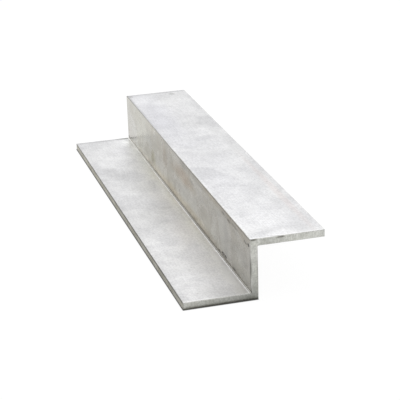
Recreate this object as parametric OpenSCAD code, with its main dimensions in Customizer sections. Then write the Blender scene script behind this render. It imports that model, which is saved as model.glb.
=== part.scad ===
// Z-section steel bar: one solid length of sharp-cornered Z-section.
// +Y runs along the length, +Z is up and +X is across the section.
// The origin is at mid-length, on the middle of the web, on the underside of the lower flange.

/* [Section] */
// Height over both flanges
section_h = 25; // [15:0.5:60]
// Width of the lower flange, measured over the web
lower_flange_w = 30; // [15:0.5:60]
// Width of the upper flange, measured over the web
upper_flange_w = 30; // [15:0.5:60]
// Thickness of the web
web_t = 3; // [2:0.25:6]
// Thickness of the lower flange
lower_flange_t = 3; // [2:0.25:6]
// Thickness of the upper flange
upper_flange_t = 3; // [2:0.25:6]

/* [Length] */
// Length between the sawn ends
bar_len = 205; // [50:1:1000]

/* [Edges] */
// Radius of the fillet in each root, where a flange meets the web
root_r = 0.4; // [0.3:0.1:2]
// Radius on each long outer arris
arris_r = 0.2; // [0.1:0.05:0.8]
// Width of the bevel that deburring leaves round each sawn end
end_bevel = 0.2; // [0.1:0.05:0.5]

/* [Hidden] */

steel = [0.76, 0.76, 0.74];
$fn = 48;

// How far a cutting body runs past the face that it cuts
overrun = 1;

// Faces of the section, across it and then upwards
web_left = -web_t / 2;
web_right = web_t / 2;
lower_tip = web_right - lower_flange_w;
upper_tip = web_left + upper_flange_w;
lower_inside = lower_flange_t;
upper_inside = section_h - upper_flange_t;

// Corners of the section before any is rounded, anticlockwise from the foot of the web
corners = [
    [web_right, 0],
    [web_right, upper_inside],
    [upper_tip, upper_inside],
    [upper_tip, section_h],
    [web_left, section_h],
    [web_left, lower_inside],
    [lower_tip, lower_inside],
    [lower_tip, 0]
];
last = len(corners) - 1;

// The corners on either side of corner i
function before(i) = corners[i == 0 ? last : i - 1];
function after(i) = corners[i == last ? 0 : i + 1];

// A corner is a root where the outline turns clockwise, and an arris everywhere else
function is_root(i) = cross(corners[i] - before(i), after(i) - corners[i]) < 0;

// The way in which the two sides of corner i leave it, as a sign on each axis
function side_signs(i) = [for (axis = [0, 1]) sign(before(i)[axis] + after(i)[axis] - 2 * corners[i][axis])];

// Moves what is drawn in the first quadrant into the angle between the sides of corner i
module in_corner(i) {
    signs = side_signs(i);
    translate(corners[i])
        mirror([signs[0] < 0 ? 1 : 0, 0])
            mirror([0, signs[1] < 0 ? 1 : 0])
                children();
}

// What lies between a square corner and the arc that rounds it
module spandrel(r) {
    difference() {
        square(r);
        translate([r, r]) circle(r);
    }
}

// The section with its roots filleted and its arrises rounded
module section() {
    difference() {
        union() {
            polygon(corners);
            for (i = [0:last]) if (is_root(i)) in_corner(i) spandrel(root_r);
        }
        for (i = [0:last]) if (!is_root(i)) in_corner(i) spandrel(arris_r);
    }
}

// Wedge that bevels the side from corner i to the next, for an end face at z = 0 with the bar above it.
// It stops where a root's fillet starts, and runs on past an arris.
module side_cut(i) {
    side = after(i) - corners[i];
    start = is_root(i) ? root_r : -overrun;
    stop = norm(side) - (is_root(i == last ? 0 : i + 1) ? root_r : -overrun);
    translate(corners[i])
        rotate(atan2(side[1], side[0]))
            translate([start, 0, 0])
                rotate([90, 0, 90])
                    linear_extrude(stop - start)
                        polygon([
                            [-overrun, -overrun],
                            [end_bevel + overrun, -overrun],
                            [-overrun, end_bevel + overrun]
                        ]);
}

// Cone that carries the bevel round the fillet of root i
module root_cut(i) {
    in_corner(i)
        translate([root_r, root_r, -overrun])
            cylinder(h = overrun + end_bevel + root_r, r1 = root_r + end_bevel + overrun, r2 = 0);
}

// The bevel round one end face
module end_cut() {
    for (i = [0:last]) {
        side_cut(i);
        if (is_root(i)) root_cut(i);
    }
}

// The bar stood on end, with its first end face at z = 0
module upright_bar() {
    difference() {
        linear_extrude(bar_len) section();
        end_cut();
        translate([0, 0, bar_len]) mirror([0, 0, 1]) end_cut();
    }
}

// The bar as it lies, on its lower flange and along Y
module z_section_bar() {
    color(steel)
        translate([0, bar_len / 2, 0])
            rotate([90, 0, 0])
                upright_bar();
}

z_section_bar();
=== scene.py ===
"""Looks of a sawn length of Z-section steel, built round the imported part.

The bar lies along Y on its lower flange, X runs across it and Z is up, in the part's own frame.
The scene is in metres. The bar is modelled in millimetres and scaled at the end, and the marks on
its metal are placed in millimetres too.
"""

import math

import bmesh
import bpy
from bpy.props import FloatProperty, FloatVectorProperty, PointerProperty
from bpy.types import Operator, Panel, PropertyGroup
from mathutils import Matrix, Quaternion, Vector, noise


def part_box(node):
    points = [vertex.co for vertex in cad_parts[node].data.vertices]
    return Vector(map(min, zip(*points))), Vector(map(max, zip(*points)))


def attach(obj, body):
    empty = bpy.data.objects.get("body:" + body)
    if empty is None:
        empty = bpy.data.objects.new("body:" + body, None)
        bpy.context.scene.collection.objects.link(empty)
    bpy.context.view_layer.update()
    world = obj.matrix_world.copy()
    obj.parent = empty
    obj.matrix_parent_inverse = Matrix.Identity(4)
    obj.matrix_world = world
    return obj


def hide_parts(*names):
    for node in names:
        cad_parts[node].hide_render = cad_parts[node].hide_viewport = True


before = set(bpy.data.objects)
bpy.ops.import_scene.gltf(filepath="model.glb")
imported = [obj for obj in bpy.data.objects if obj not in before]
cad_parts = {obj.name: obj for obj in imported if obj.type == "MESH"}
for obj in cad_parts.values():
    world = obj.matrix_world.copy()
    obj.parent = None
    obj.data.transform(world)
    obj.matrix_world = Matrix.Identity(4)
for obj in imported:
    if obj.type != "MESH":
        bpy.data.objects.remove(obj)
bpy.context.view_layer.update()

bl_info = {
    "name": "Z-Section Steel Bar",
    "version": (1, 0, 0),
    "blender": (4, 5, 0),
    "location": "3D View > Sidebar > Z Bar",
    "description": "Builds a sawn length of Z-section steel with its mill finish",
    "category": "Add Mesh",
}

NODE = "z_section_bar"
BODY = "root"
MM = 0.001
LOW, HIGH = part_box(NODE)
# Faces of the part's box in millimetres
LEFT, NEAR, BOTTOM = LOW / MM
RIGHT, FAR, TOP = HIGH / MM

# The bar's finishes in the order of its material slots. Each has the tint of its dull film, the size
# of the film's patches in millimetres, and what differs from plain metal: how dark its fine lines,
# its rolled skin and its broad streaks are, and how far apart its fine saw strokes are
FINISHES = {
    "flange_face": {"dull": (0.90, 0.90, 0.91), "patch": 16.0},
    "web_face": {"dull": (0.93, 0.915, 0.88), "patch": 12.0, "streak_tone": 0.94},
    "flange_edge": {"dull": (0.80, 0.79, 0.74), "patch": 9.0, "line_tone": 0.72},
    "long_arris": {"dull": (0.70, 0.69, 0.64), "patch": 7.0},
    "root_fillet": {"dull": (0.88, 0.86, 0.82), "patch": 10.0},
    "sawn_end": {"dull": (0.88, 0.88, 0.86), "patch": 4.0, "skin_tone": 0.80, "fine_pitch": 0.5},
    "cut_edge": {"dull": (0.86, 0.86, 0.82), "patch": 4.0},
}

# Tints that a mark multiplies the metal's colour by
OLIVE = (0.74, 0.73, 0.58)
BROWN = (0.72, 0.66, 0.57)
TAN = (0.88, 0.80, 0.68)
ROSE = (0.98, 0.90, 0.87)
# The grey, dull and dark tints mark clouds, dull metal, dirt and scuffs, and also paint shade,
# reflection and shadow
GREY = (0.70, 0.70, 0.70)
DULL_AND_SHADED = (0.50, 0.50, 0.48)
DARK = (0.22, 0.21, 0.19)
LILAC = (0.98, 0.98, 1.03)
SAGE = (0.965, 0.99, 0.985)
# The tints above 1 mark lighter film and also paint highlights and reflections; the rubbed tint is
# burnished edges with a painted highlight, and the ridge tint a ridge with a painted highlight
PALE = (1.09, 1.10, 1.07)
BRIGHT = (1.10, 1.10, 1.10)
RUBBED_AND_HIGHLIT = (1.25, 1.25, 1.25)
RIDGE_AND_HIGHLIGHT = (1.30, 1.30, 1.30)
# How deep a mark of each tint lies, as a share of the deepest; a ridge stands proud instead
RELIEF = {DARK: 1.0, RIDGE_AND_HIGHLIGHT: -1.0}

# Marks on the metal: stains, dirt and scuffs, and painted light and shade. Each is the finish it
# belongs to, its middle and its reach along X, Y and Z in millimetres, its tint, how strong it is,
# and how ragged its outline is
MARKS = (
    # Stains on the left of the web, and the scuffs below its top arris and above its root
    ("web_face", (-1.5, 50, 9), (1, 6, 4.5), OLIVE, 1.0, 0.7),
    ("web_face", (-1.5, 50.5, 9.5), (1, 3, 3.5), BROWN, 0.6, 0.7),
    ("web_face", (-1.5, 27, 16), (1, 6, 6), BROWN, 0.80, 0.8),
    ("web_face", (-1.5, 56, 17), (1, 9, 7), GREY, 0.20, 0.9),
    ("web_face", (-1.5, -3, 17.5), (1, 24, 5), TAN, 0.80, 0.7),
    ("web_face", (-1.5, -5, 18), (1, 18, 4), ROSE, 0.8, 0.6),
    ("web_face", (-1.5, 0, 4.5), (1, 90, 3.8), TAN, 1.0, 0.6),
    ("web_face", (-1.5, -65, 24.5), (1, 60, 3.6), BROWN, 0.75, 0.7),
    ("web_face", (-1.5, -19, 20), (1, 6, 1.2), GREY, 0.7, 0.9),
    ("web_face", (-1.5, -33, 22.5), (1, 6, 1.0), GREY, 0.6, 0.9),
    ("web_face", (-1.5, -74.5, 22.3), (1, 3.0, 0.9), DARK, 0.75, 0.7),
    ("web_face", (-1.5, -67, 22.9), (1, 3.5, 0.9), DARK, 0.65, 0.9),
    ("web_face", (-1.5, -72, 22.6), (1, 12, 1.6), GREY, 0.5, 0.9),
    ("web_face", (-1.5, -83, 22.8), (1, 7, 1.0), DARK, 0.50, 0.9),
    ("web_face", (-1.5, -95, 22), (1, 8, 2.4), BROWN, 0.4, 0.8),
    ("web_face", (-1.5, -95.5, 21.6), (1, 1.5, 0.8), DARK, 0.9, 0.6),
    ("web_face", (-1.5, -97.3, 21.4), (1, 1.3, 0.7), DARK, 0.8, 0.6),
    ("web_face", (-1.5, -100.2, 21.9), (1, 1.8, 1.0), DARK, 1.0, 0.4),
    ("web_face", (-1.5, -100.2, 21.8), (1, 1.2, 0.8), DARK, 1.0, 0.3),
    ("web_face", (-1.5, -60.2, 4.15), (1, 2.6, 0.50), DARK, 0.8, 0.3),
    ("web_face", (-1.5, -65.4, 4.9), (1, 2.7, 0.75), DARK, 1.0, 0.2),
    ("web_face", (-1.5, -65.4, 4.9), (1, 2.4, 0.65), DARK, 1.0, 0.2),
    ("web_face", (-1.5, -68.7, 4.75), (1, 2.5, 0.75), DARK, 1.0, 0.2),
    ("web_face", (-1.5, -68.9, 4.7), (1, 2.0, 0.65), DARK, 1.0, 0.2),
    ("web_face", (-1.5, -80.8, 4.2), (1, 2.6, 0.65), DARK, 1.0, 0.3),
    # Dirt and painted shade in the web's left root, a darker line along its top arris, and painted
    # reflection that darkens the web towards its near end
    ("web_face", (-1.5, 10, 3.2), (1, 150, 1.1), DULL_AND_SHADED, 0.8, 0.2),
    ("web_face", (-1.5, -45, 3.3), (1, 170, 0.85), DARK, 0.60, 0.2),
    ("web_face", (-1.5, -20, 3.6), (1, 160, 1.3), OLIVE, 0.45, 0.2),
    ("web_face", (-1.5, -96, 5), (1, 24, 6), OLIVE, 0.30, 0.4),
    ("web_face", (-1.5, -46, 9), (1, 18, 6), GREY, 0.22, 0.6),
    ("web_face", (-1.5, 2, 7.5), (1, 30, 5), GREY, 0.30, 0.6),
    ("web_face", (-1.5, 0, 24), (1, 50, 2), GREY, 0.25, 0.5),
    ("web_face", (-1.5, -85, 4.5), (1, 80, 4.5), GREY, 0.80, 0.5),
    ("web_face", (-1.5, -98, 10), (1, 28, 12), GREY, 0.25, 0.4),
    ("web_face", (-1.5, -50, 24.6), (1, 150, 0.8), DARK, 0.55, 0.3),
    # Painted reflection: the web grows darker towards its near end
    ("web_face", (-1.5, -120, 10), (1, 190, 50), GREY, 0.50, 0.1),
    ("web_face", (-1.5, -102.5, 12), (1, 2.4, 11), DULL_AND_SHADED, 0.60, 0.2),
    ("web_face", (-1.5, 102.5, 14), (1, 1.4, 30), GREY, 0.70, 0.2),
    ("web_face", (-1.5, -66, 12), (1, 24, 11), GREY, 0.30, 0.7),
    ("web_face", (-1.5, -88, 8), (1, 46, 15), GREY, 0.34, 0.4),
    ("web_face", (-1.5, 38, 9), (1, 18, 5), GREY, 0.30, 0.8),
    # Painted reflection that makes the web cooler and lighter towards its far end, and the lighter and
    # darker clouds along the web
    ("web_face", (-1.5, 90, 17), (1, 60, 16), SAGE, 1.0, 0.4),
    ("web_face", (-1.5, 94, 13), (1, 22, 16), LILAC, 1.0, 0.5),
    ("web_face", (-1.5, 93, 15), (1, 20, 15), BRIGHT, 0.8, 0.6),
    # Painted reflection of the lower flange's far edge in the web's left root
    ("web_face", (-1.5, 101, 3.8), (1, 4.5, 1.4), DARK, 0.85, 0.4),
    ("web_face", (-1.5, 78, 10), (1, 7, 3.5), BRIGHT, 0.9, 0.5),
    ("web_face", (-1.5, 82, 10), (1, 4, 3), BRIGHT, 1.0, 0.6),
    ("web_face", (-1.5, 74, 12.5), (1, 5, 3), BRIGHT, 0.9, 0.6),
    ("web_face", (-1.5, 86, 5), (1, 12, 1.8), GREY, 0.25, 0.5),
    ("web_face", (-1.5, 62, 20.5), (1, 7, 3), GREY, 0.25, 0.6),
    ("web_face", (-1.5, 35, 7.5), (1, 7, 3), GREY, 0.35, 0.6),
    ("web_face", (-1.5, 18.5, 20.5), (1, 11, 5), GREY, 0.38, 0.7),
    ("web_face", (-1.5, 14.5, 7), (1, 8, 3.5), BRIGHT, 1.0, 0.6),
    ("web_face", (-1.5, 14.5, 6.5), (1, 6, 2.5), PALE, 0.6, 0.6),
    ("web_face", (-1.5, -8.5, 11.5), (1, 7, 4.5), GREY, 0.38, 0.7),
    ("web_face", (-1.5, -5, 23.5), (1, 7, 2.5), GREY, 0.60, 0.5),
    ("web_face", (-1.5, 26, 23.5), (1, 4, 2), GREY, 0.30, 0.5),
    ("web_face", (-1.5, 26, 14), (1, 4, 2.5), GREY, 0.30, 0.5),
    ("web_face", (-1.5, 17, 7), (1, 5, 2.4), BRIGHT, 1.0, 0.4),
    ("web_face", (-1.5, -2, 8.5), (1, 9, 4.5), GREY, 0.36, 0.5),
    ("web_face", (-1.5, -13, 13.8), (1, 5, 2.6), GREY, 0.40, 0.5),
    ("web_face", (-1.5, -22, 10), (1, 5, 3), GREY, 0.25, 0.5),
    ("web_face", (-1.5, -22, 24), (1, 4, 1.8), GREY, 0.30, 0.5),
    ("web_face", (-1.5, -26, 23), (1, 8, 2.5), GREY, 0.32, 0.7),
    ("web_face", (-1.5, -30, 20), (1, 4, 1.6), GREY, 0.35, 0.7),
    ("web_face", (-1.5, -47, 24), (1, 9, 2.4), BRIGHT, 1.0, 0.5),
    ("web_face", (-1.5, -51, 24), (1, 8, 2.4), BRIGHT, 1.0, 0.4),
    ("web_face", (-1.5, -42, 13.5), (1, 7, 3.5), BRIGHT, 0.7, 0.6),
    ("web_face", (-1.5, -60, 12), (1, 8, 4), GREY, 0.22, 0.7),
    ("web_face", (-1.5, -70, 17), (1, 5, 5), GREY, 0.40, 0.6),
    ("web_face", (-1.5, -71, 7), (1, 6, 3), GREY, 0.32, 0.6),
    ("web_face", (-1.5, -70, 13), (1, 4.5, 13), GREY, 0.32, 0.5),
    ("web_face", (-1.5, -69.5, 6), (1, 3, 1.6), GREY, 0.45, 0.4),
    ("web_face", (-1.5, -83, 21), (1, 7, 2.5), GREY, 0.35, 0.5),
    ("web_face", (-1.5, -94, 9), (1, 7, 7), GREY, 0.32, 0.5),
    ("web_face", (-1.5, -96, 9), (1, 8, 10), GREY, 0.28, 0.4),
    # Dirt and painted shade along the middle of the left root's fillet
    ("root_fillet", (-1.5, -25, 3.37), (0.56, 175, 0.56), DARK, 0.9, 0.1),
    ("root_fillet", (-1.5, 70, 3.4), (0.52, 60, 0.52), DULL_AND_SHADED, 0.7, 0.1),
    # Clouds and smears on the lower flange, painted light towards its near end, and a painted highlight
    # on the strip beside its root
    ("flange_face", (-19, 51, 3), (8, 11, 1), GREY, 0.30, 0.9),
    ("flange_face", (-23, 56, 3), (5, 6, 1), GREY, 0.12, 0.9),
    ("flange_face", (-9.5, -2, 3), (5, 2.5, 1), GREY, 0.45, 0.8),
    ("flange_face", (-14.5, -16, 3), (6, 10, 1), GREY, 0.22, 0.8),
    ("flange_face", (-9.5, 27, 3), (7, 9, 1), GREY, 0.20, 0.8),
    ("flange_face", (-22, 5, 3), (13, 70, 1), GREY, 0.12, 0.2),
    ("flange_face", (-27, 64, 3), (6, 16, 1), BRIGHT, 1.0, 0.4),
    ("flange_face", (-21, 14, 3), (14, 20, 1), BRIGHT, 1.0, 0.5),
    ("flange_face", (-20, -39, 3), (15, 19, 1), BRIGHT, 1.0, 0.5),
    # Painted light on the lower flange towards its near end
    ("flange_face", (-16, -93, 3), (20, 22, 1), BRIGHT, 0.9, 0.5),
    ("flange_face", (-4, -78, 3), (10, 60, 1), BRIGHT, 1.0, 0.3),
    ("flange_face", (-2, -82, 3), (6, 50, 1), BRIGHT, 0.9, 0.2),
    ("flange_face", (-19, -66, 3), (12, 42, 1), BRIGHT, 0.6, 0.4),
    # Painted highlight on the strip beside the root; the ridge mark also stands proud and is rougher
    ("flange_face", (-2, 0, 3), (14, 300, 1), BRIGHT, 1.0, 0.1),
    ("flange_face", (-1, 0, 3), (7, 300, 1), PALE, 1.0, 0.1),
    ("flange_face", (-1.7, -40, 3), (0.8, 160, 1), RIDGE_AND_HIGHLIGHT, 1.0, 0.1),
    ("flange_face", (-4, 89.5, 3), (3.5, 6, 1), GREY, 0.40, 0.5),
    ("flange_face", (-7, 75.5, 3), (3, 5, 1), GREY, 0.28, 0.5),
    ("flange_face", (-11.5, 82, 3), (4.5, 6, 1), BRIGHT, 1.0, 0.5),
    ("flange_face", (-16, 54, 3), (7, 8, 1), BRIGHT, 0.8, 0.6),
    ("flange_face", (-26.5, 50, 3), (4, 7, 1), BRIGHT, 0.9, 0.6),
    ("flange_face", (-27, 18, 3), (3.5, 7, 1), BRIGHT, 1.0, 0.5),
    ("flange_face", (-16.5, 26, 3), (5, 5, 1), GREY, 0.28, 0.6),
    ("flange_face", (-4.5, 14, 3), (2.5, 26, 1), BRIGHT, 0.7, 0.3),
    ("flange_face", (-13, -6, 3), (3, 4, 1), GREY, 0.22, 0.6),
    ("flange_face", (-20, -9, 3), (5, 7, 1), GREY, 0.22, 0.6),
    ("flange_face", (-10.5, -14.5, 3), (4, 5, 1), BRIGHT, 0.8, 0.6),
    ("flange_face", (-9, -54, 3), (5, 6, 1), BRIGHT, 0.7, 0.6),
    ("flange_face", (-22.5, -48, 3), (5, 6, 1), BRIGHT, 0.6, 0.6),
    ("flange_face", (-21, -78.5, 3), (9, 6, 1), BRIGHT, 0.8, 0.6),
    ("flange_face", (-19, -96, 3), (6, 5, 1), GREY, 0.26, 0.6),
    ("flange_face", (-3, 98.5, 3), (2.6, 3, 1), GREY, 0.45, 0.4),
    ("flange_face", (-27, 98, 3), (2.5, 4, 1), BRIGHT, 0.8, 0.4),
    ("flange_face", (-24.5, 73, 3), (3.5, 18, 1), GREY, 0.17, 0.5),
    ("flange_face", (-27, 34, 3), (3, 5, 1), BRIGHT, 0.6, 0.5),
    ("flange_face", (-15, 10, 3), (5, 6, 1), BRIGHT, 0.6, 0.5),
    ("flange_face", (-13.5, -22, 3), (4, 5, 1), BRIGHT, 0.6, 0.5),
    ("flange_face", (-14.5, -86, 3), (4, 5, 1), BRIGHT, 0.7, 0.5),
    ("flange_face", (-3.2, -90, 3), (2.2, 9, 1), BRIGHT, 0.7, 0.3),
    # Patches, rolling marks and handling spots on the upper flange, painted light towards its near end,
    # and a painted highlight beside its left arris
    ("flange_face", (4, 70, 25), (12, 60, 1), LILAC, 0.4, 0.5),
    ("flange_face", (6, -10, 25), (22, 120, 1), LILAC, 0.2, 0.5),
    ("flange_face", (19, 50, 25), (10, 14, 1), GREY, 0.20, 0.9),
    ("flange_face", (16, 91, 25), (8, 9, 1), GREY, 0.20, 0.6),
    ("flange_face", (6, -42, 25), (13, 22, 1), BRIGHT, 0.5, 0.5),
    ("flange_face", (24.7, -55, 25), (2.2, 65, 1), ROSE, 0.45, 0.3),
    # Painted light towards the near end
    ("flange_face", (9, -87, 25), (17, 42, 1), BRIGHT, 0.8, 0.4),
    ("flange_face", (3, -88, 25), (13, 14, 1), BRIGHT, 0.5, 0.4),
    ("flange_face", (22, -94, 25), (20, 30, 1), BRIGHT, 0.9, 0.4),
    ("flange_face", (28.5, 20, 25), (7, 120, 1), GREY, 0.24, 0.2),
    ("flange_face", (24.5, 93, 25), (4, 9, 1), GREY, 0.25, 0.5),
    ("flange_face", (10.5, 71, 25), (7, 9, 1), BRIGHT, 0.6, 0.6),
    ("flange_face", (4.5, 53, 25), (6, 9, 1), BRIGHT, 0.7, 0.6),
    ("flange_face", (15.5, 43.5, 25), (8, 8, 1), GREY, 0.30, 0.6),
    ("flange_face", (23.5, 31, 25), (4, 8, 1), GREY, 0.18, 0.5),
    ("flange_face", (8, 17, 25), (8, 7, 1), BRIGHT, 0.8, 0.6),
    ("flange_face", (13, 2, 25), (24, 6, 1), GREY, 0.20, 0.5),
    ("flange_face", (25.5, -23, 25), (6, 7, 1), BRIGHT, 1.0, 0.5),
    ("flange_face", (8.5, -34, 25), (5.5, 8, 1), BRIGHT, 0.7, 0.6),
    ("flange_face", (25.5, -70, 25), (6, 6, 1), BRIGHT, 0.9, 0.5),
    ("flange_face", (7.5, -70, 25), (4, 5, 1), GREY, 0.22, 0.6),
    ("flange_face", (9.5, -78, 25), (4, 5, 1), BRIGHT, 0.8, 0.6),
    ("flange_face", (6, -95, 25), (6, 5, 1), GREY, 0.18, 0.6),
    ("flange_face", (4, -46, 25), (4, 5, 1), BRIGHT, 0.6, 0.5),
    ("flange_face", (16, -67, 25), (5, 8, 1), BRIGHT, 0.6, 0.5),
    ("flange_face", (20, -95, 25), (5, 5, 1), GREY, 0.16, 0.5),
    ("flange_face", (25, 14, 25), (2, 18, 1), GREY, 0.14, 0.4),
    ("flange_face", (0.3, 99.6, 25), (1.4, 1.5, 1), DARK, 0.50, 0.4),
    ("flange_face", (20.6, 97.5, 25), (2.2, 2.4, 1), DULL_AND_SHADED, 0.55, 0.6),
    ("flange_face", (-1.5, 100, 25), (1.6, 80, 1), GREY, 0.9, 0.2),
    # Painted highlight beside the left arris
    ("flange_face", (-1.3, -50, 25), (1.4, 80, 1), BRIGHT, 0.8, 0.2),
    # The flanges' ends, with a painted highlight beside the near cut, partly burnished, and darker
    # beside the far one, and the darker tip of the lower flange
    # Painted highlight along the near cut, partly burnished
    ("flange_face", (0, -102.5, 25), (60, 1.6, 1), RUBBED_AND_HIGHLIT, 0.7, 0.2),
    ("flange_face", (5, -102.0, 25), (12, 3.5, 1), BRIGHT, 1.0, 0.2),
    ("flange_face", (-28, -102.5, 3), (26, 1.5, 1), RUBBED_AND_HIGHLIT, 1.0, 0.2),
    ("flange_face", (-9, -98, 3), (10, 7, 1), GREY, 0.16, 0.5),
    ("flange_face", (-28.5, 35, 3), (5, 110, 1), GREY, 0.30, 0.4),
    ("flange_face", (14, 102.5, 25), (60, 3.2, 1), GREY, 0.7, 0.3),
    ("flange_face", (-15, 102.5, 3), (60, 2.8, 1), GREY, 0.6, 0.3),
    ("flange_face", (-3, 102, 3), (7, 2.4, 1), DULL_AND_SHADED, 0.9, 0.2),
    ("cut_edge", (0, 102.5, 12), (90, 1, 60), DULL_AND_SHADED, 0.9, 0.1),
    # Darker edges, a painted highlight along the upper flange's left arris, a painted reflection along
    # the middle of the lower flange's tip, and a painted shadow where the tip meets the floor
    ("long_arris", (-1.5, 110, 25), (1, 110, 1), DULL_AND_SHADED, 1.0, 0.3),
    ("long_arris", (-1.5, -30, 24.75), (0.3, 150, 0.22), DARK, 0.8, 0.1),
    # Painted highlight along the arris, partly burnished
    ("long_arris", (-1.36, -60, 24.95), (0.30, 90, 0.30), RUBBED_AND_HIGHLIT, 1.0, 0.1),
    ("long_arris", (-28.5, 0, 2.85), (0.25, 300, 0.25), DARK, 1.0, 0.1),
    # Painted shadow along the foot of the tip, where it meets the floor
    ("long_arris", (-28.5, 0, 0), (1, 300, 1), DARK, 1.0, 0.2),
    # Painted reflection along the middle of the tip
    ("flange_edge", (-28.5, 66, 1.5), (1, 66, 4), BRIGHT, 0.9, 0.3),
    # Painted shadow along the foot of the tip
    ("flange_edge", (-28.5, 0, 0), (1, 300, 0.9), DARK, 0.4, 0.3),
    ("flange_edge", (-28.5, 0, 3), (1, 300, 1.0), DARK, 1.0, 0.3),
    ("flange_edge", (-28.5, -90, 3), (1, 110, 1.5), GREY, 1.0, 0.3),
    ("flange_edge", (-28.5, -120, 1.5), (1, 170, 9), GREY, 0.35, 0.1),
    # The near sawn end: painted shade towards the foot of the web, a painted shadow along its bottom,
    # darker down the edges of the web, and a painted highlight along the top of the cut, partly
    # burnished
    # Painted highlight along the top of the cut, partly burnished
    ("cut_edge", (6, -102.5, 25), (40, 1, 0.5), RUBBED_AND_HIGHLIT, 1.0, 0.1),
    ("cut_edge", (-28, -102.5, 3), (26, 1, 0.5), RUBBED_AND_HIGHLIT, 1.0, 0.1),
    # Painted shadow along the bottom of the cut
    ("cut_edge", (-14, -102.5, 0), (40, 1, 0.8), DARK, 1.0, 0.2),
    ("cut_edge", (-28.5, -102.5, 1.5), (1, 1, 3), DULL_AND_SHADED, 1.0, 0.2),
    ("cut_edge", (-1.6, -102.5, 3.3), (0.7, 1, 0.7), DARK, 0.8, 0.2),
    ("cut_edge", (-1.5, -102.5, 13), (0.9, 1, 5), DARK, 0.7, 0.2),
    ("web_face", (-1.5, -102.5, 11), (1, 1.2, 10), DARK, 0.45, 0.2),
    ("cut_edge", (-1.5, -102.5, 4.2), (0.7, 1, 1.6), DULL_AND_SHADED, 1.0, 0.2),
    ("cut_edge", (-1.5, -102.5, 14), (0.9, 1, 20), DULL_AND_SHADED, 0.5, 0.2),
    ("cut_edge", (1.5, -102.5, 12), (0.9, 1, 14), DULL_AND_SHADED, 0.8, 0.2),
    # Painted shadow along the bottom of the sawn face
    ("sawn_end", (-14, -102.5, 0), (40, 1, 1.2), DARK, 1.0, 0.2),
    ("sawn_end", (-22, -102.5, 0.4), (7, 1, 1.6), GREY, 0.3, 0.4),
    ("sawn_end", (-15, -102.5, 1), (24, 1, 4), GREY, 0.36, 0.4),
    # Painted shade towards the foot of the web
    ("sawn_end", (2, -102.5, -1), (26, 1, 12), GREY, 0.9, 0.3),
    ("sawn_end", (-1, -102.5, -1), (9, 1, 5), DULL_AND_SHADED, 0.80, 0.3),
    ("sawn_end", (1.5, -102.5, 12), (0.7, 1, 14), GREY, 0.5, 0.2),
    ("sawn_end", (-1.2, -102.5, 13), (0.6, 1, 4), GREY, 0.6, 0.8),
    ("sawn_end", (4, -102.5, 23), (8, 1, 3), GREY, 0.3, 0.6),
    # Painted highlight over the upper part of the cut
    ("sawn_end", (0.6, -102.5, 23.4), (2.8, 1, 2.2), RUBBED_AND_HIGHLIT, 0.8, 0.3),
    ("sawn_end", (20, -102.5, 23.5), (12, 1, 5), BRIGHT, 1.0, 0.5),
    ("sawn_end", (0, -102.5, 21), (3, 1, 5), BRIGHT, 0.6, 0.5),
    ("sawn_end", (10.7, -102.5, 24.6), (2.0, 1, 0.6), DARK, 0.9, 0.4),
    ("cut_edge", (10.7, -102.5, 25), (1.7, 1, 0.6), DARK, 0.8, 0.4),
    ("cut_edge", (-0.2, -102.5, 24.8), (2.0, 1, 0.4), DARK, 0.8, 0.4),
    ("sawn_end", (-0.2, -102.5, 24.6), (2.2, 1, 0.5), DARK, 0.7, 0.4),
)

# Knocks that pushed the metal in: the middle of each, its reach along Y and how far it moved the
# metal, in millimetres
DENTS = (
    ((-0.4, NEAR, TOP), 1.0, (0, 0.10, -0.14)),
    ((10.7, NEAR, TOP), 1.0, (0, 0.16, -0.22)),
)


# ---------------------------------------------------------------- settings


def length(name, description, default):
    """A size that a user can change, in metres."""
    return FloatProperty(
        name=name, description=description, default=default, min=0, unit="LENGTH", precision=5
    )


def share(name, description, default):
    """A plain number from 0 to 1."""
    return FloatProperty(
        name=name, description=description, default=default, min=0, max=1, subtype="FACTOR"
    )


def colour(name, description, default):
    """A linear colour without alpha."""
    return FloatVectorProperty(
        name=name, description=description, default=default, min=0, max=1, size=3, subtype="COLOR"
    )


def glow(name, description, default):
    """How strongly a surface shines, where 1 is white."""
    return FloatProperty(name=name, description=description, default=default, min=0)


def power(name, description, default):
    """The power of a light, in watts."""
    return FloatProperty(name=name, description=description, default=default, unit="POWER")


class SectionSettings(PropertyGroup):
    """Sizes of the section and of its sawn ends that the part's box doesn't give."""

    gauge: length("Gauge", "Thickness of the web and of both flanges", 3.0 * MM)
    arris_radius: length("Arris radius", "Radius on each long outer edge", 0.2 * MM)
    root_radius: length("Root radius", "Radius of the fillet between web and flange", 0.4 * MM)
    end_bevel: length("End bevel", "Width of the bevel that deburring leaves round a sawn end", 0.2 * MM)
    saw_pitch: length("Saw pitch", "Distance from one saw stroke to the next on a sawn end", 0.7 * MM)


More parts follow.
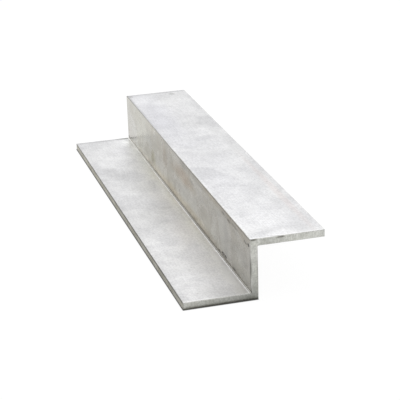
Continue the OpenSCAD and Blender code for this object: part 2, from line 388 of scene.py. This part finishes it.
class FinishSettings(PropertyGroup):
    """Colour and roughness of each finish, under the finish's own name."""

    flange_face: colour("Flange face", "Bright faces of the flanges", (0.856, 0.856, 0.859))
    # The web and the flange tips are the same steel as the flange faces; the web's darker colour is its
    # warm stain and painted shade, and the tips' darker colour is painted shade
    web_face: colour("Web face", "Faces of the web", (0.660, 0.634, 0.566))
    flange_edge: colour("Flange edge", "Narrow faces along the flange tips", (0.56, 0.545, 0.465))
    long_arris: colour("Long arris", "Rounded edges along the bar", (0.82, 0.82, 0.80))
    # The fillets' lighter colour is a painted highlight
    root_fillet: colour("Root fillet", "Fillets between web and flanges", (0.92, 0.91, 0.88))
    sawn_end: colour("Sawn end", "Faces left by the saw", (0.735, 0.74, 0.70))
    cut_edge: colour("Cut edge", "Bevels round the sawn ends, filed bright", (0.76, 0.76, 0.74))
    flange_face_roughness: share("Flange face roughness", "How matt the flange faces are", 0.42)
    web_face_roughness: share("Web face roughness", "How matt the web is", 0.25)
    flange_edge_roughness: share("Flange edge roughness", "How matt the flange tips are", 0.38)
    long_arris_roughness: share("Long arris roughness", "How matt the rounded edges are", 0.35)
    root_fillet_roughness: share("Root fillet roughness", "How matt the fillets are", 0.20)
    sawn_end_roughness: share("Sawn end roughness", "How matt the sawn faces are", 0.45)
    cut_edge_roughness: share("Cut edge roughness", "How matt the filed bevels are", 0.30)


class StageSettings(PropertyGroup):
    """Floor, room and lights."""

    floor: colour("Floor", "Colour of the floor", (0.85, 0.85, 0.85))
    floor_glow: glow("Floor glow", "Light that the floor adds where it is seen", 0.94)
    mirror_glow: glow("Mirror glow", "Light that the floor adds where metal mirrors it", 0.25)
    surround: colour("Surround", "Colour of the room round the stage", (0.64, 0.64, 0.64))
    top_power: power("Top light", "Power of the light overhead", 2.4)
    back_power: power("Back light", "Power of the light behind", 4.0)


# ---------------------------------------------------------------- shape

# Sizes here are in millimetres. Two places closer than CLOSE are one, and a cut that passes within
# SNAP of a vertex runs through it
CLOSE, SNAP = 0.01, 0.001
# How much of a face's normal lies along an axis: where the face is square to the axis, where it is
# nearly so, and where it only leans towards it
SQUARE_ON, NEARLY_ON, LEANING = 0.999, 0.9, 0.1
# The least angle between two faces whose corner gets rounded, and whose edge stays sharp
CORNER_ANGLE, SHARP_ANGLE = 0.5, math.radians(32)
ARRIS_SEGMENTS, ROOT_SEGMENTS = 4, 6
# A ring of vertices stands this far in from each end, so that what is done there stays there
END_RING = 3.0
# How finely an end bevel is divided, and how deep the file went into it
BEVEL_STEP, FILED_DEPTH = 0.8, 0.10
# The waves of the filing: how many there are to a millimetre, their share of the file's depth, and
# the slice of the noise that they come from
FILED_WAVES = ((0.45, 1.0, 0), (1.6, 0.3, 7))
# How far the saw's strokes lean from upright, how deep they are, and how much a stroke differs from
# the next one
SAW_LEAN, SAW_DEPTH, SAW_CHANGE = math.radians(20), 0.03, 0.7


def section_corners(gauge):
    """The eight corners of the section in X and Z, anticlockwise from the foot of the web."""
    half_web = gauge / 2
    return [
        (half_web, BOTTOM),
        (half_web, TOP - gauge),
        (RIGHT, TOP - gauge),
        (RIGHT, TOP),
        (-half_web, TOP),
        (-half_web, BOTTOM + gauge),
        (LEFT, BOTTOM + gauge),
        (LEFT, BOTTOM),
    ]


def ends_beveled(gauge, width):
    """The square-cornered bar with a bevel round each end.

    The section is drawn out, and then each end is pushed out narrower.
    """
    bm = bmesh.new()
    corners = [bm.verts.new((x, NEAR + width, z)) for x, z in section_corners(gauge)]
    end = bm.faces.new(corners)
    drawn = bmesh.ops.extrude_face_region(bm, geom=[end])["geom"]
    moved = [g for g in drawn if isinstance(g, bmesh.types.BMVert)]
    bmesh.ops.translate(bm, vec=(0, FAR - NEAR - 2 * width, 0), verts=moved)
    bmesh.ops.recalc_face_normals(bm, faces=bm.faces)
    ends = [f for f in bm.faces if abs(f.normal.y) > NEARLY_ON]
    bmesh.ops.inset_region(bm, faces=ends, thickness=width, depth=width, use_even_offset=True)
    return bm


def cut_across(bm, stations):
    """Adds a ring of vertices round the whole bar at each station along it."""
    for station in stations:
        bmesh.ops.bisect_plane(
            bm,
            geom=[*bm.verts, *bm.edges, *bm.faces],
            plane_co=(0, station, 0),
            plane_no=(0, 1, 0),
            dist=SNAP,
        )


def divide_end_bevels(bm, spacing):
    """Divides the bevels round the ends along their length, so that their width can vary."""
    for face in [f for f in bm.faces if LEANING < abs(f.normal.y) < NEARLY_ON]:
        sides = [e for e in face.edges if abs(e.verts[0].co.y - e.verts[1].co.y) < CLOSE]
        cuts = int(max(e.calc_length() for e in sides) / spacing)
        bmesh.ops.subdivide_edges(bm, edges=sides, cuts=cuts, use_grid_fill=True)


def corner_edges(bm, roots):
    """The edges along the bar and down its end bevels, at its two roots or at its six arrises."""
    found = []
    for edge in bm.edges:
        along = abs(edge.verts[0].co.y - edge.verts[1].co.y)
        if along > CLOSE and edge.calc_face_angle(0) > CORNER_ANGLE and edge.is_convex != roots:
            found.append(edge)
    return found


def bevel(bm, edges, width, segments):
    """Rounds edges, with the new faces' material taken from their neighbours."""
    bmesh.ops.bevel(
        bm,
        geom=edges,
        offset=width,
        offset_type="OFFSET",
        segments=segments,
        profile=0.5,
        affect="EDGES",
        clamp_overlap=False,
        material=-1,
    )


def uneven(x, y, z):
    """Smooth noise from 0 to 1."""
    return 0.5 + 0.5 * noise.noise(Vector((x, y, z)))


def roughen_ends(bm, width):
    """Makes the filing of the end bevels uneven: both of their outlines wander inwards, never out."""
    for vert in bm.verts:
        end = math.copysign(FAR, vert.co.y)
        into = abs(end - vert.co.y)
        wander = sum(
            FILED_DEPTH * part * uneven(vert.co.x * waves, end + slice_at, vert.co.z * waves)
            for waves, part, slice_at in FILED_WAVES
        )
        if into < CLOSE:
            outward = Vector((vert.normal.x, 0, vert.normal.z))
            if outward.length > LEANING:
                vert.co -= outward.normalized() * wander
        elif into < width + CLOSE:
            vert.co.y -= math.copysign(wander, end)


def saw_ends(bm, pitch):
    """Cuts each end face into strips along the blade's strokes, and sets them in by uneven depths."""
    across = Vector((math.cos(SAW_LEAN), 0, math.sin(SAW_LEAN)))
    reach = int((RIGHT - LEFT) / pitch)
    for end in (NEAR, FAR):
        for step in range(-reach, reach):
            faces = [f for f in bm.faces if all(abs(v.co.y - end) < CLOSE for v in f.verts)]
            cut = {*faces, *(e for f in faces for e in f.edges), *(v for f in faces for v in f.verts)}
            bmesh.ops.bisect_plane(
                bm, geom=list(cut), plane_co=across * step * pitch, plane_no=across, dist=SNAP
            )
        for vert in bm.verts:
            if abs(vert.co.y - end) < CLOSE:
                stroke = vert.co.dot(across) / pitch
                vert.co.y -= math.copysign(SAW_DEPTH * uneven(stroke * SAW_CHANGE, end, 0), end)


def dent(bm, place, reach, inwards):
    """Pushes the metal near a place inwards, most at its middle."""
    place = Vector(place)
    for vert in bm.verts:
        apart = vert.co - place
        apart.y /= reach
        if apart.length < 1:
            vert.co += Vector(inwards) * (1 - apart.length_squared) ** 2


def finish_of(face, gauge, width):
    """The finish that a face has, from where it lies and which way it looks."""
    normal, middle = face.normal, face.calc_center_median()
    if abs(normal.y) > NEARLY_ON:
        return "sawn_end"
    if abs(middle.y) > FAR - 2 * width and abs(normal.y) > LEANING:
        return "cut_edge"
    if abs(normal.z) > SQUARE_ON:
        return "flange_face"
    if abs(normal.x) > SQUARE_ON:
        return "web_face" if abs(middle.x) < gauge else "flange_edge"
    if abs(middle.x) < gauge and gauge < middle.z < TOP - gauge:
        return "root_fillet"
    return "long_arris"


def bar_mesh(section):
    """The finished mesh of the bar, modelled in millimetres and stored in metres."""
    gauge, width = section.gauge / MM, section.end_bevel / MM
    bm = ends_beveled(gauge, width)
    cut_across(bm, (NEAR + END_RING, FAR - END_RING))
    divide_end_bevels(bm, BEVEL_STEP)
    bevel(bm, corner_edges(bm, roots=False), section.arris_radius / MM, ARRIS_SEGMENTS)
    bevel(bm, corner_edges(bm, roots=True), section.root_radius / MM, ROOT_SEGMENTS)
    bm.normal_update()
    roughen_ends(bm, width)
    saw_ends(bm, section.saw_pitch / MM)
    for place, reach, inwards in DENTS:
        dent(bm, place, reach, inwards)
    bm.normal_update()
    slots = list(FINISHES)
    for face in bm.faces:
        face.material_index = slots.index(finish_of(face, gauge, width))
        face.smooth = True
    bmesh.ops.scale(bm, vec=(MM, MM, MM), verts=bm.verts)
    mesh = bpy.data.meshes.new("bar")
    bm.to_mesh(mesh)
    bm.free()
    mesh.set_sharp_from_angle(angle=SHARP_ANGLE)
    return mesh


# ---------------------------------------------------------------- node helpers


def node(tree, kind, inputs=None, **settings):
    """Adds a node, sets its properties, and links or sets its inputs."""
    made = tree.nodes.new(kind)
    for name, value in settings.items():
        setattr(made, name, value)
    for name, value in (inputs or {}).items():
        if isinstance(value, bpy.types.NodeSocket):
            tree.links.new(value, made.inputs[name])
        else:
            made.inputs[name].default_value = value
    return made


def maths(tree, operation, a, b=0.0):
    """A Math node's result."""
    return node(tree, "ShaderNodeMath", {0: a, 1: b}, operation=operation).outputs[0]


def times_plus(tree, a, b, c):
    """The first two numbers multiplied, plus the third."""
    return node(tree, "ShaderNodeMath", {0: a, 1: b, 2: c}, operation="MULTIPLY_ADD").outputs[0]


def vector_maths(tree, operation, a, b=(0, 0, 0)):
    """A Vector Math node's result."""
    made = node(tree, "ShaderNodeVectorMath", {0: a, 1: b}, operation=operation)
    return made.outputs["Value" if operation == "LENGTH" else "Vector"]


def between(tree, value, low, high, to_low=0.0, to_high=1.0):
    """A value carried smoothly from one range to another, and held at its ends."""
    spread = {"Value": value, "From Min": low, "From Max": high, "To Min": to_low, "To Max": to_high}
    return node(tree, "ShaderNodeMapRange", spread, interpolation_type="SMOOTHSTEP").outputs["Result"]


def mixed(tree, factor, a, b, blend="MIX"):
    """Two colours mixed."""
    made = node(tree, "ShaderNodeMix", data_type="RGBA", blend_type=blend, clamp_result=True)
    for index, value in ((0, factor), (6, a), (7, b)):
        if isinstance(value, bpy.types.NodeSocket):
            tree.links.new(value, made.inputs[index])
        elif index:
            made.inputs[index].default_value = (*value[:3], 1.0)
        else:
            made.inputs[index].default_value = value
    return made.outputs[2]


def tinted(tree, amount, tone, tint):
    """A colour multiplied by a tint, as far as the amount says."""
    return mixed(tree, amount, tone, tint, blend="MULTIPLY")


def millimetres(tree):
    """Place on the bar in millimetres."""
    place = node(tree, "ShaderNodeTexCoord").outputs["Object"]
    return node(tree, "ShaderNodeMapping", {"Vector": place, "Scale": (1 / MM,) * 3}).outputs["Vector"]


def fine_noise(tree, vector, size, detail=3.0, distortion=0.0):
    """Even noise whose grains are about one size across."""
    scale = maths(tree, "DIVIDE", 1.0, size) if isinstance(size, bpy.types.NodeSocket) else 1 / size
    spread = {"Vector": vector, "Scale": scale, "Detail": detail, "Distortion": distortion}
    return node(tree, "ShaderNodeTexNoise", spread).outputs[0]


# ---------------------------------------------------------------- effects that the finishes share

# The film's mottle is this many times finer than its patches, and this strong beside them
FILM_MOTTLE, FILM_MOTTLE_SHARE = 7.0, 0.35
# A mark's outline wanders in patches of this share of its reach
MARK_WANDER = 0.6
# A fine saw stroke's width as a share of its length, and the size of the places that the teeth skipped
STROKE_SLIMNESS, SKIP_SIZE = 0.08, 2.2
# The inputs of an effect that aren't plain numbers
VECTORS = ("Vector", "Middle", "Reach")


def effect(name, inputs, outputs):
    """Starts a node group, and gives its tree, the sockets it reads from and the ones it writes to."""
    tree = bpy.data.node_groups.new(name, "ShaderNodeTree")
    for label in inputs:
        kind = "NodeSocketVector" if label in VECTORS else "NodeSocketFloat"
        tree.interface.new_socket(label, in_out="INPUT", socket_type=kind)
    for label in outputs:
        tree.interface.new_socket(label, in_out="OUTPUT", socket_type="NodeSocketFloat")
    return tree, tree.nodes.new("NodeGroupInput").outputs, tree.nodes.new("NodeGroupOutput").inputs


def placed(tree, name, **inputs):
    """Puts an effect into a material and gives its outputs."""
    labelled = {label.capitalize(): value for label, value in inputs.items()}
    return node(tree, "ShaderNodeGroup", labelled, node_tree=bpy.data.node_groups[name]).outputs


def film_effect():
    """Soft uneven patches of dull film, with a finer mottle inside them."""
    tree, given, out = effect("cloudy_film", ("Vector", "Patch"), ("Film",))
    clouds = fine_noise(tree, given["Vector"], given["Patch"], detail=2.0, distortion=0.7)
    finer = maths(tree, "DIVIDE", given["Patch"], FILM_MOTTLE)
    mottle = fine_noise(tree, given["Vector"], finer, detail=4.0)
    both = times_plus(tree, mottle, FILM_MOTTLE_SHARE, clouds)
    tree.links.new(between(tree, both, low=0.42, high=0.93), out["Film"])


def skin_effect():
    """Fine even unevenness of a rolled and pickled skin."""
    tree, given, out = effect("rolled_skin", ("Vector", "Size"), ("Mottle",))
    skin = fine_noise(tree, given["Vector"], given["Size"])
    tree.links.new(between(tree, skin, low=0.32, high=0.68), out["Mottle"])


def grain_effect():
    """Fine lines that the rolls and the straightener leave along the bar."""
    tree, given, out = effect("drawn_grain", ("Vector", "Width", "Run"), ("Lines", "Height"))
    across = maths(tree, "DIVIDE", 1.0, given["Width"])
    along = maths(tree, "DIVIDE", 1.0, given["Run"])
    stretch = node(tree, "ShaderNodeCombineXYZ", {"X": across, "Y": along, "Z": across}).outputs[0]
    drawn = vector_maths(tree, "MULTIPLY", given["Vector"], stretch)
    lines = fine_noise(tree, drawn, 1.0, detail=4.0)
    tree.links.new(between(tree, lines, low=0.30, high=0.70), out["Lines"])
    tree.links.new(maths(tree, "MULTIPLY", lines, given["Width"]), out["Height"])


def smudge_effect():
    """One mark: a soft ragged spot of a given reach about its middle.

    Its noise has a mapping of its own, because a finish holds dozens of marks, and without one the
    renderer runs out of room for them and shows the metal black.
    """
    tree, given, out = effect("smudge", ("Vector", "Middle", "Reach", "Ragged"), ("Mask",))
    apart = vector_maths(tree, "SUBTRACT", given["Vector"], given["Middle"])
    scaled = vector_maths(tree, "DIVIDE", apart, given["Reach"])
    distance = vector_maths(tree, "LENGTH", scaled)
    within = {"Vector": given["Vector"], "Location": given["Middle"], "Scale": given["Reach"]}
    spot = node(tree, "ShaderNodeMapping", within, vector_type="TEXTURE").outputs[0]
    wander = maths(tree, "SUBTRACT", fine_noise(tree, spot, MARK_WANDER, detail=4.0), 0.5)
    ragged = times_plus(tree, wander, given["Ragged"], distance)
    tree.links.new(between(tree, ragged, low=1.05, high=0.25), out["Mask"])


def saw_effect():
    """Strokes that the saw leaves across a sawn face, broken up where the teeth skipped."""
    tree, given, out = effect("saw_strokes", ("Vector", "Pitch"), ("Strokes", "Height"))
    lean = {"Vector": given["Vector"], "Rotation": (0, SAW_LEAN, 0)}
    leaning = node(tree, "ShaderNodeMapping", lean).outputs[0]
    stretch = {"Vector": leaning, "Scale": (1, 1, STROKE_SLIMNESS)}
    stretched = node(tree, "ShaderNodeMapping", stretch).outputs[0]
    strokes = fine_noise(tree, stretched, given["Pitch"])
    skips = fine_noise(tree, given["Vector"], SKIP_SIZE)
    broken = maths(tree, "MULTIPLY", strokes, skips)
    tree.links.new(between(tree, broken, low=0.14, high=0.38), out["Strokes"])
    tree.links.new(maths(tree, "MULTIPLY", strokes, SAW_DEPTH), out["Height"])


def pit_effect():
    """Small dark pits and specks, thinly scattered."""
    tree, given, out = effect("specks", ("Vector", "Spacing"), ("Mask",))
    cells = {"Vector": given["Vector"], "Scale": maths(tree, "DIVIDE", 1.0, given["Spacing"])}
    found = node(tree, "ShaderNodeTexVoronoi", cells)
    near = between(tree, found.outputs["Distance"], low=0.10, high=0.04)
    chance = node(tree, "ShaderNodeSeparateColor", {0: found.outputs["Color"]}).outputs[0]
    few = between(tree, chance, low=0.70, high=0.72)
    tree.links.new(maths(tree, "MULTIPLY", near, few), out["Mask"])


# ---------------------------------------------------------------- the bar and its finishes

# Every size of the relief is in millimetres. The fine lines along the bar: their width, how far they
# run, and their depth as a share of their width
LINE_WIDTH, LINE_RUN, LINE_DEPTH = 0.5, 12.0, 0.02
# The width and the run of the web's broad streaks, and the size of the rolled skin's mottle
STREAK_WIDTH, STREAK_RUN, SKIN_SIZE = 1.5, 50.0, 0.8
# How far apart the pits are, how strongly their dirt shows, and how deep they are
PIT_SPACING, PIT_DIRT, PIT_DEPTH = 5.0, 0.3, 0.02
# The tint of the fine saw strokes
STROKE_TINT = (0.91, 0.91, 0.90)
# How deep the deepest mark is, and how much rougher a ridge is than the metal round it
MARK_DEPTH, RIDGE_MATT = 0.15, 0.5
# How much smoother than its finish's roughness the clean metal is, and how much rougher the film
CLEAN_GLOSS, FILM_MATT = 0.04, 0.06


def marked(tree, place, finish, tone):
    """Lays a finish's marks over its colour.

    Gives the colour, how deep the marks lie and how matt they make the metal.
    """
    depth = matt = 0.0
    for owner, middle, reach, tint, strength, ragged in MARKS:
        if owner != finish:
            continue
        mask = placed(tree, "smudge", vector=place, middle=middle, reach=reach, ragged=ragged)["Mask"]
        amount = maths(tree, "MULTIPLY", mask, strength)
        tone = tinted(tree, amount, tone, tint)
        if tint in RELIEF:
            depth = maths(tree, "ADD", depth, maths(tree, "MULTIPLY", amount, RELIEF[tint]))
        if tint == RIDGE_AND_HIGHLIGHT:
            matt = maths(tree, "MAXIMUM", matt, amount)
    return tone, depth, matt


def metal(
    name,
    base,
    roughness,
    dull,
    patch,
    line_tone=0.93,
    skin_tone=0.86,
    streak_tone=1.0,
    fine_pitch=0.0,
):
    """A bare metal: its colour under a cloudy dull film, with lines, marks, pits and uneven gloss."""
    material = bpy.data.materials.new(name)
    material.use_nodes = True
    tree = material.node_tree
    shader = tree.nodes["Principled BSDF"]
    shader.inputs["Metallic"].default_value = 1.0
    place = millimetres(tree)

    film = placed(tree, "cloudy_film", vector=place, patch=patch)["Film"]
    tone = mixed(tree, film, base, [b * d for b, d in zip(base, dull)])
    lines = placed(tree, "drawn_grain", vector=place, width=LINE_WIDTH, run=LINE_RUN)
    tone = tinted(tree, lines["Lines"], tone, (line_tone,) * 3)
    mottle = placed(tree, "rolled_skin", vector=place, size=SKIN_SIZE)["Mottle"]
    tone = tinted(tree, mottle, tone, (skin_tone,) * 3)
    if streak_tone < 1:
        broad = placed(tree, "drawn_grain", vector=place, width=STREAK_WIDTH, run=STREAK_RUN)["Lines"]
        tone = tinted(tree, broad, tone, (streak_tone,) * 3)
    height = maths(tree, "MULTIPLY", lines["Height"], LINE_DEPTH)
    if fine_pitch:
        strokes = placed(tree, "saw_strokes", vector=place, pitch=fine_pitch)
        tone = tinted(tree, strokes["Strokes"], tone, STROKE_TINT)
        height = maths(tree, "ADD", height, strokes["Height"])
    pits = placed(tree, "specks", vector=place, spacing=PIT_SPACING)["Mask"]
    tone = tinted(tree, maths(tree, "MULTIPLY", pits, PIT_DIRT), tone, DARK)
    height = maths(tree, "SUBTRACT", height, maths(tree, "MULTIPLY", pits, PIT_DEPTH))

    tone, depth, matt = marked(tree, place, name, tone)
    height = maths(tree, "SUBTRACT", height, maths(tree, "MULTIPLY", depth, MARK_DEPTH))
    gloss = between(tree, film, 0.0, 1.0, roughness - CLEAN_GLOSS, roughness + FILM_MATT)
    gloss = maths(tree, "ADD", gloss, maths(tree, "MULTIPLY", matt, RIDGE_MATT))
    bump = node(tree, "ShaderNodeBump", {"Distance": MM, "Height": height}).outputs["Normal"]
    tree.links.new(tone, shader.inputs["Base Color"])
    tree.links.new(gloss, shader.inputs["Roughness"])
    tree.links.new(bump, shader.inputs["Normal"])
    return material


class ZBAR_OT_bar(Operator):
    """Build the bar and give it its finishes"""

    bl_idname = "zbar.bar"
    bl_label = "Bar"

    def execute(self, context):
        scene = context.scene
        chosen = scene.zbar_finish
        bar = bpy.data.objects.new("steel_bar", bar_mesh(scene.zbar_section))
        scene.collection.objects.link(bar)
        for build in (film_effect, skin_effect, grain_effect, smudge_effect, saw_effect, pit_effect):
            build()
        for name, traits in FINISHES.items():
            base, roughness = getattr(chosen, name), getattr(chosen, f"{name}_roughness")
            bar.data.materials.append(metal(name, base, roughness, **traits))
        weighted = bar.modifiers.new("face_weighted_normals", "WEIGHTED_NORMAL")
        weighted.keep_sharp = True
        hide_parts(NODE)
        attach(bar, BODY)
        return {"FINISHED"}


# ---------------------------------------------------------------- stage

# The floor's radius and how far it lies below the bar, in metres
FLOOR_RADIUS, FLOOR_DROP = 4.0, 0.02 * MM
# How much of the floor's own colour is left where the camera sees it, beside its glow
FLOOR_SHARE = 0.12
# The right edge of the face that the bar stands on, and how wide the painted contact shadow round that
# face is along X, Y and Z, in millimetres
FOOT_EDGE, CONTACT_SHADOW_REACH = 1.2, (0.45, 0.75, 1)
# The place and the size of each light, in metres
TOP_LIGHT = (0.1, 0.1, 1.1), (1.3, 1.3)
BACK_LIGHT = (0.35, 1.4, 0.55), (2.2, 1.05)
# Where the camera stands, and which way it looks from there: round from the front, down and tilted
EYE = Vector((-152.9, -592.2, 232.5)) * MM
AZIMUTH, ELEVATION, ROLL = (math.radians(a) for a in (-15.13, 20.44, -1.94))
# The camera's lens and the width of its sensor in millimetres, and how near and far it sees in metres
LENS, SENSOR = 132.1, 36.0
NEAREST, FARTHEST = 0.01, 20.0


def beside_footprint(tree):
    """How far a place on the floor lies from the face that the bar stands on, in widths of the painted
    contact shadow.
    """
    middle, half = ((LEFT + FOOT_EDGE) / 2, 0, 0), ((FOOT_EDGE - LEFT) / 2, FAR, 0)
    apart = vector_maths(tree, "SUBTRACT", millimetres(tree), middle)
    apart = vector_maths(tree, "ABSOLUTE", apart)
    apart = vector_maths(tree, "SUBTRACT", apart, half)
    apart = vector_maths(tree, "MAXIMUM", apart, (0, 0, 0))
    apart = vector_maths(tree, "DIVIDE", apart, CONTACT_SHADOW_REACH)
    return vector_maths(tree, "LENGTH", apart)


def floor_paper(settings):
    """Pale paper that glows where it is seen or mirrored; the seen glow fades into a painted contact
    shadow beside the bar.
    """
    material = bpy.data.materials.new("floor_paper")
    material.use_nodes = True
    tree = material.node_tree
    tree.nodes.clear()
    rays = node(tree, "ShaderNodeLightPath").outputs
    mirrored = maths(tree, "MAXIMUM", rays["Is Glossy Ray"], rays["Is Transmission Ray"])
    mirrored = maths(tree, "MULTIPLY", mirrored, settings.mirror_glow)
    # Where the seen glow fades to nothing beside the bar's footprint: a painted contact shadow
    clear = between(tree, beside_footprint(tree), low=0.0, high=1.0)
    seen = maths(tree, "MULTIPLY", rays["Is Camera Ray"], settings.floor_glow)
    seen = maths(tree, "MULTIPLY", seen, clear)
    shade = mixed(tree, rays["Is Camera Ray"], settings.floor, [FLOOR_SHARE * c for c in settings.floor])
    paper = node(tree, "ShaderNodeBsdfDiffuse", {"Color": shade})
    light = node(tree, "ShaderNodeEmission", {"Strength": maths(tree, "ADD", seen, mirrored)})
    both = node(tree, "ShaderNodeAddShader", {0: paper.outputs[0], 1: light.outputs[0]})
    node(tree, "ShaderNodeOutputMaterial", {"Surface": both.outputs[0]})
    return material


def lay_floor(scene, settings):
    """Lays a round floor just under the bar."""
    bm = bmesh.new()
    bmesh.ops.create_circle(bm, cap_ends=True, radius=FLOOR_RADIUS, segments=96)
    bmesh.ops.translate(bm, vec=(0, 0, -FLOOR_DROP), verts=bm.verts)
    mesh = bpy.data.meshes.new("floor")
    bm.to_mesh(mesh)
    bm.free()
    floor = bpy.data.objects.new("floor", mesh)
    scene.collection.objects.link(floor)
    mesh.materials.append(floor_paper(settings))


def area_light(scene, name, place, size, watts):
    """Hangs a white rectangular light that faces the middle of the bar."""
    data = bpy.data.lights.new(name, "AREA")
    data.shape = "RECTANGLE"
    data.size, data.size_y = size
    data.energy = watts
    lamp = bpy.data.objects.new(name, data)
    scene.collection.objects.link(lamp)
    lamp.location = place
    lamp.rotation_mode = "QUATERNION"
    lamp.rotation_quaternion = (-Vector(place)).to_track_quat("-Z", "Y")
    lamp.visible_camera = False


def light_room(scene, settings):
    """Fills the room with even light, and hangs one light overhead and one behind the bar."""
    world = bpy.data.worlds.new("room")
    scene.world = world
    world.use_nodes = True
    world.node_tree.nodes["Background"].inputs["Color"].default_value = (*settings.surround, 1)
    area_light(scene, "top_light", *TOP_LIGHT, settings.top_power)
    area_light(scene, "back_light", *BACK_LIGHT, settings.back_power)


def place_camera(scene):
    """Sets the camera at the eye, looking down at the bar."""
    data = bpy.data.cameras.new("camera")
    data.lens, data.sensor_width = LENS, SENSOR
    data.clip_start, data.clip_end = NEAREST, FARTHEST
    camera = bpy.data.objects.new("camera", data)
    scene.collection.objects.link(camera)
    back = Vector(
        (
            math.sin(AZIMUTH) * math.cos(ELEVATION),
            -math.cos(AZIMUTH) * math.cos(ELEVATION),
            math.sin(ELEVATION),
        )
    )
    camera.location = EYE
    camera.rotation_mode = "QUATERNION"
    camera.rotation_quaternion = (-back).to_track_quat("-Z", "Y") @ Quaternion((0, 0, 1), ROLL)
    scene.camera = camera


class ZBAR_OT_stage(Operator):
    """Lay the floor, hang the lights and set the camera"""

    bl_idname = "zbar.stage"
    bl_label = "Stage"

    def execute(self, context):
        scene = context.scene
        settings = scene.zbar_stage
        scene.view_settings.view_transform = "Standard"
        lay_floor(scene, settings)
        light_room(scene, settings)
        place_camera(scene)
        return {"FINISHED"}


# ---------------------------------------------------------------- add-on


class ZBAR_PT_panel(Panel):
    """Sizes, finishes and stage of the bar"""

    bl_label = "Z Bar"
    bl_space_type = "VIEW_3D"
    bl_region_type = "UI"
    bl_category = "Z Bar"

    def draw(self, context):
        for operator in (ZBAR_OT_bar, ZBAR_OT_stage):
            self.layout.operator(operator.bl_idname)
        for name in SETTINGS:
            group = getattr(context.scene, name)
            column = self.layout.column(align=True)
            for prop in group.bl_rna.properties:
                if prop.identifier not in ("rna_type", "name"):
                    column.prop(group, prop.identifier)


SETTINGS = {"zbar_section": SectionSettings, "zbar_finish": FinishSettings, "zbar_stage": StageSettings}
CLASSES = (*SETTINGS.values(), ZBAR_OT_bar, ZBAR_OT_stage, ZBAR_PT_panel)


def register():
    """Adds the classes, and hangs their settings on the scene."""
    for cls in CLASSES:
        bpy.utils.register_class(cls)
    for name, cls in SETTINGS.items():
        setattr(bpy.types.Scene, name, PointerProperty(type=cls))


def unregister():
    """Takes away what register added."""
    for name in SETTINGS:
        delattr(bpy.types.Scene, name)
    for cls in reversed(CLASSES):
        bpy.utils.unregister_class(cls)


def main():
    """Builds the bar on its stage."""
    register()
    bpy.ops.zbar.bar()
    bpy.ops.zbar.stage()


if __name__ == "__main__":
    main()
